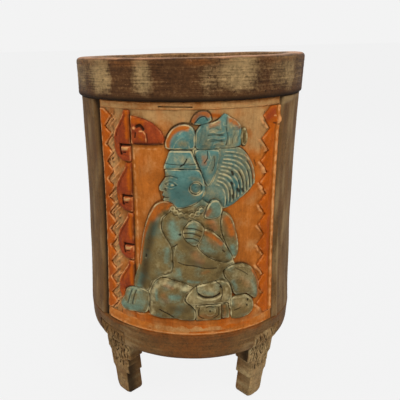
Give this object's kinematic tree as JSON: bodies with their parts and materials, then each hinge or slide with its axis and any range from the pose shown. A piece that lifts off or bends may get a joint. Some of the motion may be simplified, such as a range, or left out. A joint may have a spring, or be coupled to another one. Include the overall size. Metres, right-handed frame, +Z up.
{
  "type": "tripod cylinder vessel",
  "caption": "Fired clay cylinder vessel on slab feet, open at the top, with overhanging rim band, rounded base band and a carved, painted figure panel on its front.",
  "frame": {"origin": "on the plane that the feet stand on, under the middle of the vessel", "axes": "+Z up along the vessel's axis; the carved panel faces -Y; +X to the right of someone facing the panel"},
  "size_m": [0.1474, 0.1476, 0.23],
  "materials": {
    "burnished_brown": "satin",
    "rim_brown": "satin",
    "bare_clay": "matte",
    "ground_tan": "matte",
    "red_paint": "matte",
    "orange_paint": "matte",
    "blue_paint": "matte",
    "olive_wash": "matte"
  },
  "bodies": {
    "root": {"floor_disc": "bare_clay", "wall": "burnished_brown", "base_band": "burnished_brown", "rim_band": "rim_brown", "foot_left": "burnished_brown", "foot_right": "burnished_brown", "foot_rear": "burnished_brown", "panel_ground": "ground_tan", "raised_thumb": "blue_paint", "necklace": "olive_wash", "bent_hand": "olive_wash", "bent_forearm": "olive_wash", "bent_upper_arm": "olive_wash", "straight_hand": "blue_paint", "straight_arm": "olive_wash", "loincloth": "olive_wash", "apron": "olive_wash", "apron_tail": "olive_wash", "sole": "olive_wash", "left_thigh": "olive_wash", "right_thigh": "olive_wash", "brow_band": "blue_paint", "ear_disc": "blue_paint", "headdress_flap": "blue_paint", "head": "blue_paint", "crest_top": "blue_paint", "crest_front": "blue_paint", "headdress_tassel": "blue_paint", "headdress": "blue_paint", "feather_fan": "blue_paint", "torso": "olive_wash", "glyph_beam": "red_paint", "zigzag_left": "orange_paint", "zigzag_right": "orange_paint", "border_top": "ground_tan", "border_bottom": "ground_tan", "border_right": "ground_tan", "step_block_1": "red_paint", "step_block_2": "red_paint", "step_block_3": "red_paint", "step_block_4": "red_paint"}
  },
  "joints": []
}
